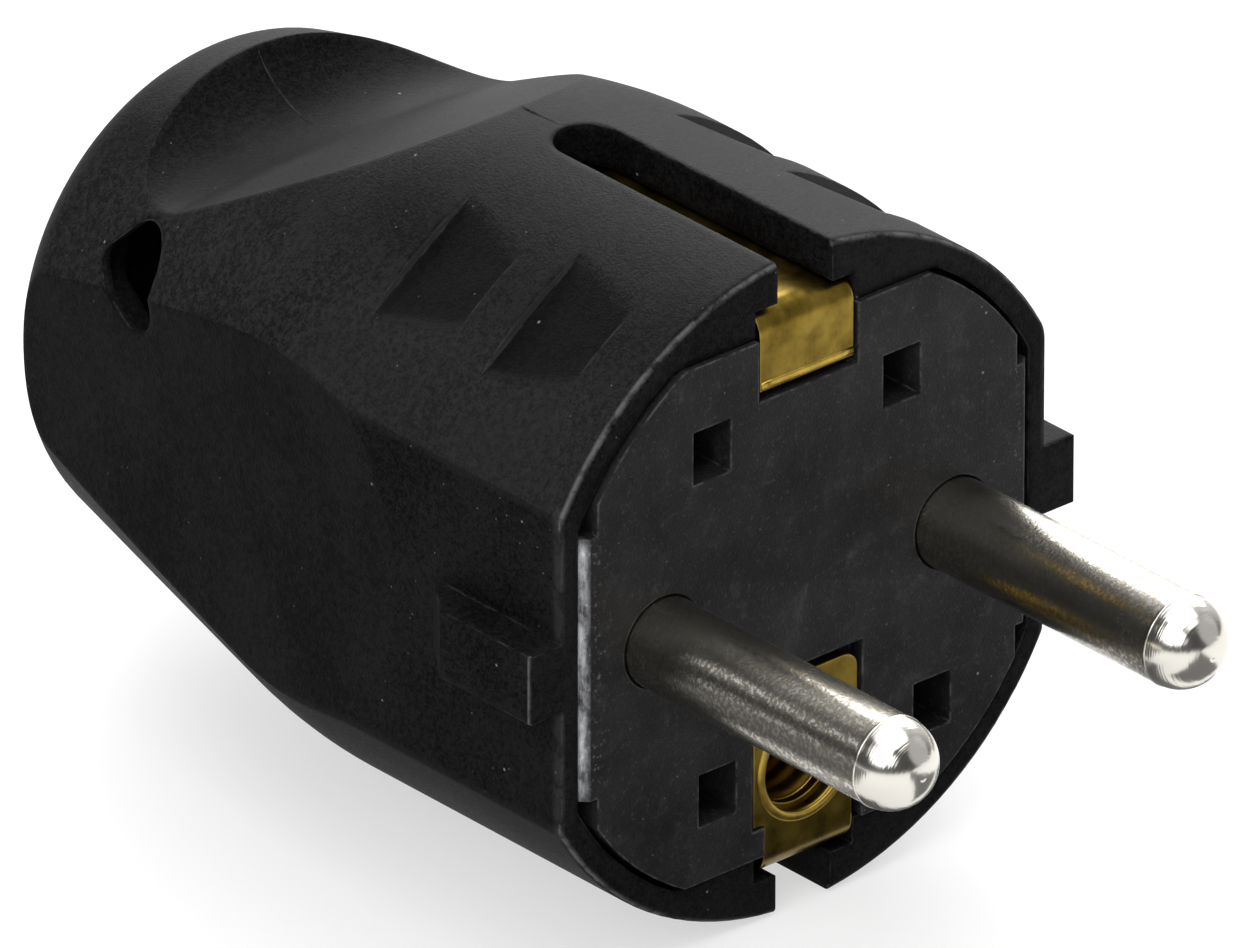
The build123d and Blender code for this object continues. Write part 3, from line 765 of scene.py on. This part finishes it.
def fade(share, ends):
    """Rises from the end size to 1 within the given share of the length at both ends."""
    near_end = np.minimum(share, 1.0 - share) / ends
    return RIDGE_END_SIZE + (1.0 - RIDGE_END_SIZE) * np.clip(near_end, 0.0, 1.0)


def on_centre_plane(y, z):
    """Points or directions with x = 0 from arrays of y and z."""
    return np.stack([np.zeros_like(y), y, z], axis=-1)


def ridge(name, path, up):
    """Hair ridge along a path on the hood: an ellipse, half sunk, times the fade along the path."""
    share = np.linspace(0.0, 1.0, len(path))
    side = np.tile([1.0, 0.0, 0.0], (len(path), 1))
    outline = ellipse_outline(RIDGE_HALF_WIDTH, RIDGE_HEIGHT, RIDGE_OUTLINE_POINTS)
    grid = carried(path, side, up, outline, fade(share, RIDGE_FADE))
    return grid_piece(name, grid, ridge_plastic, ring=False)


angle = np.linspace(*np.radians(HOLLOW_ANGLES_DEG), HOLLOW_RIDGE_ROWS)
arc_y = HOLLOW_LOW_Y + HOLLOW_RADIUS * np.sin(angle)
arc_z = HOLLOW_FLOOR_Z + HOLLOW_RADIUS * (1.0 - np.cos(angle))
arc_up = on_centre_plane(-np.sin(angle), np.cos(angle))
ridge("hollow_parting_line", on_centre_plane(arc_y, arc_z), arc_up)

top_y = np.linspace(*TOP_RIDGE_Y, TOP_RIDGE_ROWS)
top_z = np.full_like(top_y, HOOD_RADIUS - TOP_RIDGE_SUNK)
top_up = on_centre_plane(np.zeros_like(top_y), np.ones_like(top_y))
ridge("top_parting_line", on_centre_plane(top_y, top_z), top_up)

# %% [markdown]
# ## Rolled ring and ribs of the earth receptacle
#
# The edge of the round hole in the brass plate is rolled over to a ring, and the sleeve behind it
# has ribs that grip the earth pin. Both are in the lighter copy of the brass, so their brightness
# is painted light. Both are round about the hole's axis, so each needs only its section. The ring
# is an ellipse turned round the axis, and the ribs are one wavy outline turned the same way:
# radius = bore - depth * wave, with the wave between 0 and 1.

# %% Ring and ribs
RECEPTACLE_Z = -10.0
PLATE_FRONT_Y = 0.15
RING_RADIUS = 2.92
RING_HALF_WIDTH = 0.26
RING_HEIGHT = 0.13
RING_SUNK = 0.01
RING_OUTLINE_POINTS = 14
RING_ROWS = 96
SLEEVE_BORE_RADIUS = 2.5
RIB_PITCH = 1.15
RIB_DEPTH = 0.16
RIB_BACKING = 0.1
RIB_START_Y = 1.4
RIB_END_Y = 12.9
RIB_OUTLINE_POINTS = 120
RIB_ROWS = 72


def receptacle_piece(name, outline, rows):
    """Outline of (radius, y) turned about the receptacle's axis, in brass with painted light."""
    grid = turned(outline, 0.0, RECEPTACLE_Z, rows)
    return grid_piece(name, grid, lit_brass_copy, ring=True)


ring_outline = ellipse_outline(RING_HALF_WIDTH, RING_HEIGHT, RING_OUTLINE_POINTS)
receptacle_piece("hole_ring", ring_outline + [RING_RADIUS, PLATE_FRONT_Y + RING_SUNK], RING_ROWS)

rib_y = np.linspace(RIB_START_Y, RIB_END_Y, RIB_OUTLINE_POINTS)
wave = 0.5 - 0.5 * np.cos(2.0 * math.pi * (rib_y - RIB_START_Y) / RIB_PITCH)
rib_inside = np.stack([SLEEVE_BORE_RADIUS - RIB_DEPTH * wave, rib_y], axis=-1)
rib_back_radius = np.full(2, SLEEVE_BORE_RADIUS + RIB_BACKING)
rib_back = np.stack([rib_back_radius, [RIB_END_Y, RIB_START_Y]], axis=-1)
receptacle_piece("receptacle_ribs", np.concatenate([rib_inside, rib_back]), RIB_ROWS)

# %% [markdown]
# ## Bead and foot of each pin
#
# The die that formed the ball left a fine bead where the shaft begins: a small ellipse turned
# round each pin. At the other end the shaft runs straight into its hole in the face, while the
# solid pin has a narrower neck there. A thin collar closes that neck to the eye. It starts just
# under the skin of the shaft, rises gently to just above it, and ends inside the hole, so that no
# step shows where it begins.

# %% Pin beads and feet
PIN_X = 9.5
PIN_RADIUS = 2.4
PIN_ROWS = 96
BEAD_Y = -16.55
BEAD_HEIGHT = 0.035
BEAD_HALF_LENGTH = 0.10
BEAD_OUTLINE_POINTS = 10
FOOT_INNER_RADIUS = 2.05
FOOT_UNDER_SKIN = PIN_RADIUS - 0.006
FOOT_OVER_SKIN = PIN_RADIUS + 0.004
FOOT_START_Y = -2.4
FOOT_RISE_Y = (-2.2, -0.3)
FOOT_MOUTH_Y = 0.3
FOOT_END_Y = 0.6

bead_outline = ellipse_outline(BEAD_HEIGHT, BEAD_HALF_LENGTH, BEAD_OUTLINE_POINTS)
bead_outline = bead_outline + [PIN_RADIUS, BEAD_Y]
foot_outline = np.array(
    [
        (FOOT_UNDER_SKIN, FOOT_START_Y),
        (FOOT_UNDER_SKIN, FOOT_RISE_Y[0]),
        (FOOT_OVER_SKIN, FOOT_RISE_Y[1]),
        (FOOT_OVER_SKIN, FOOT_MOUTH_Y),
        (FOOT_OVER_SKIN, FOOT_END_Y),
        (FOOT_INNER_RADIUS, FOOT_END_Y),
    ]
)
for side_name, pin_x in (("left", -PIN_X), ("right", PIN_X)):
    for piece_name, outline in (("pin_bead", bead_outline), ("pin_foot", foot_outline)):
        grid = turned(outline, pin_x, 0.0, PIN_ROWS)
        grid_piece(f"{piece_name}_{side_name}", grid, pin_nickel, ring=True)

# %% [markdown]
# ## Curled lower edge of the top clip
#
# The end of the clip's flap is curled slightly, which catches the light as a bright line. The
# flap itself could be bent in the mesh, but the curl is small and the same all the way across, so
# it is a flat ellipse carried straight along the edge. It is in the lighter copy of the brass,
# which adds painted light to that line.

# %% Curled edge
FLAP_HALF_WIDTH = 3.0
FLAP_END_Z = 11.4
CURL_Y = 0.17
CURL_ABOVE_END = 0.28
CURL_HALF_HEIGHT = 0.22
CURL_HALF_DEPTH = 0.11
CURL_OUTLINE_POINTS = 14
CURL_ROWS = 9

curl_x = np.linspace(-FLAP_HALF_WIDTH, FLAP_HALF_WIDTH, CURL_ROWS)
curl_y = np.full_like(curl_x, CURL_Y)
curl_z = np.full_like(curl_x, FLAP_END_Z + CURL_ABOVE_END)
curl_side = np.tile([0.0, 0.0, 1.0], (CURL_ROWS, 1))
curl_up = np.tile([0.0, -1.0, 0.0], (CURL_ROWS, 1))
curl_outline = ellipse_outline(CURL_HALF_HEIGHT, CURL_HALF_DEPTH, CURL_OUTLINE_POINTS)
curl_path = np.stack([curl_x, curl_y, curl_z], axis=-1)
curl = carried(curl_path, curl_side, curl_up, curl_outline, np.ones(CURL_ROWS))
grid_piece("flap_curl", curl, lit_brass_copy, ring=False)

# %% [markdown]
# ## The floor
#
# The plug lies on a plain pale sheet. A white sheet under strong lamps would do, but that much
# light would wash out the black plastic. So the sheet is pale paper that also glows a little for
# the rays that come from the camera or from a mirror. It looks almost white, and it keeps the soft
# shadow under the plug.

# %% Floor
FLOOR_SPAN = (-2.5, 2.5)
PAPER_GREY = (0.84, 0.84, 0.84, 1.0)
WHITE = (1.0, 1.0, 1.0, 1.0)
GLOWING_SHARE = 0.6


def flat_sheet(name, span_x, span_y, z):
    """Rectangle at height z, with its corners counter-clockwise round the two spans."""
    x = np.take(span_x, [0, 1, 1, 0])
    y = np.take(span_y, [0, 0, 1, 1])
    mesh = bpy.data.meshes.new(name)
    mesh.from_pydata(np.stack([x, y, np.full(4, z)], axis=-1).tolist(), [], [(0, 1, 2, 3)])
    sheet = bpy.data.objects.new(name, mesh)
    bpy.context.scene.collection.objects.link(sheet)
    return sheet


floor_material = bpy.data.materials.new("floor_sheet")
floor_material.use_nodes = True
floor_material.node_tree.nodes.clear()
begin = Wire(floor_material.node_tree)
paper = begin.add("ShaderNodeBsdfDiffuse", {}, {"Color": PAPER_GREY})
glow = begin.add("ShaderNodeEmission", {}, {"Color": WHITE, "Strength": 1.0})
ray_kinds = ("Is Camera Ray", "Is Glossy Ray", "Is Transmission Ray")
seen, mirrored, through = begin.add("ShaderNodeLightPath", out=ray_kinds)
glowing = begin.math("MINIMUM", seen + mirrored + through, 1.0) * GLOWING_SHARE
surface = begin.add("ShaderNodeMixShader", {}, {0: glowing, 1: paper, 2: glow})
begin.add("ShaderNodeOutputMaterial", {}, {"Surface": surface}, out=())

floor_z = cad_box[0].z
floor = flat_sheet("floor", FLOOR_SPAN, FLOOR_SPAN, floor_z)
floor.data.materials.append(floor_material)
print("floor at", round(floor_z / MM, 2), "mm")

# %% [markdown]
# ## The world
#
# A studio is dim, apart from its lamps and the wall that they light. An even world would fill the
# grip notches and flatten the hood, and a picture of a studio isn't needed for a glow this soft.
# So the world is nearly dark, and gets brighter towards the back right: dim + glow * a smooth step
# of how far a direction agrees with that of the glow.

# %% World
WORLD_DIM = 0.06
WORLD_GLOW = 0.75
GLOW_DIRECTION = (0.62, 0.64, 0.45)
GLOW_RISE = (0.35, 1.0)

world = bpy.data.worlds.new("studio")
bpy.context.scene.world = world
world.use_nodes = True
background = world.node_tree.nodes["Background"]
toward_glow = Wire(world.node_tree).add("ShaderNodeTexCoord", out="Generated").dot(GLOW_DIRECTION)
connect(toward_glow, background, Color=WHITE)
connect(toward_glow, background, Strength=WORLD_DIM + WORLD_GLOW * toward_glow.step(*GLOW_RISE))
print("world from", WORLD_DIM, "to", WORLD_DIM + WORLD_GLOW)

# %% [markdown]
# ## Dark cards
#
# Photographers put black cards beside shiny things, to give their reflections a dark side. Without
# them the left flat, the undersides of the pins and the ball ends would mirror nothing but the
# white sheet. A real card would also throw a shadow and show in the picture. These three lie on
# the sheet, and only mirror rays can see them. The one under the pins is a painted shadow: it
# stands for the plug's own shadow on the sheet, as the reflections see it.

# %% Cards that only reflections see
CARD_LIFT = 0.0005
CARD_GREY = (0.11, 0.11, 0.11, 1.0)
CARDS = {
    "card_left": ((-0.30, -0.020), (0.0, 0.35)),
    # Painted shadow: the plug's own shadow on the sheet, seen only in reflections.
    "card_painted_shadow_under_pins": ((-0.016, 0.026), (-0.014, -0.001)),
    "card_right": ((-0.002, 0.028), (-0.35, -0.020)),
}
BLIND_RAYS = ("camera", "diffuse", "transmission", "shadow")

card_material, card_place, card_shader = start_finish("dark_card")
connect(card_place, card_shader, Base_Color=CARD_GREY, Roughness=1.0, Specular_IOR_Level=0.0)
for card_name, (span_x, span_y) in CARDS.items():
    card = flat_sheet(card_name, span_x, span_y, floor_z + CARD_LIFT)
    card.data.materials.append(card_material)
    for ray in BLIND_RAYS:
        setattr(card, f"visible_{ray}", False)
print("cards:", list(CARDS))

# %% [markdown]
# ## Lamps
#
# Soft light needs large lamps, so each is an elliptical area lamp, which leaves a round highlight
# on the balls. The largest, behind on the right, puts the grey sheen on the top of the hood. The
# one above and the one on the left model the shoulders and the face, and a weak one in front
# lifts the right-hand side. Two small ones, behind on the left and beside the camera, only draw
# highlights.

# %% Lamps: place and aim in metres, width and height in metres, power in watts
LAMPS = {
    "back_right_box": ((0.55, 0.62, 0.45), (0.0, 0.01, 0.0), (1.00, 0.70), 12.5),
    "top_box": ((0.0, -0.05, 0.75), (0.0, 0.0, 0.0), (0.90, 0.90), 5.6),
    "front_fill": ((0.62, -0.62, 0.40), (0.0, 0.0, 0.0), (1.10, 1.00), 1.25),
    "left_fill": ((-0.66, -0.30, 0.58), (0.0, 0.0, 0.0), (0.90, 0.80), 5.7),
    "back_left_strip": ((-0.60, 0.66, 0.46), (0.0, 0.0, 0.0), (0.26, 0.26), 0.12),
    "camera_fill": ((-0.58, -0.78, 0.50), (0.0, 0.0, 0.0), (0.36, 0.36), 0.35),
}
for lamp_name, (lamp_place, aim, size, power) in LAMPS.items():
    lamp_data = bpy.data.lights.new(lamp_name, "AREA")
    lamp_data.shape = "ELLIPSE"
    lamp_data.size, lamp_data.size_y = size
    lamp_data.energy = power
    lamp = bpy.data.objects.new(lamp_name, lamp_data)
    bpy.context.scene.collection.objects.link(lamp)
    lamp.location = lamp_place
    beam = Vector(aim) - Vector(lamp_place)
    lamp.rotation_euler = beam.to_track_quat("-Z", "Y").to_euler()
print("lamps:", list(LAMPS))

# %% [markdown]
# ## Sizes
#
# The fine pieces should add no more than a hair to the size of the plug. They could be checked by
# eye; here only the box of the solids is measured, and it is printed when they are loaded.
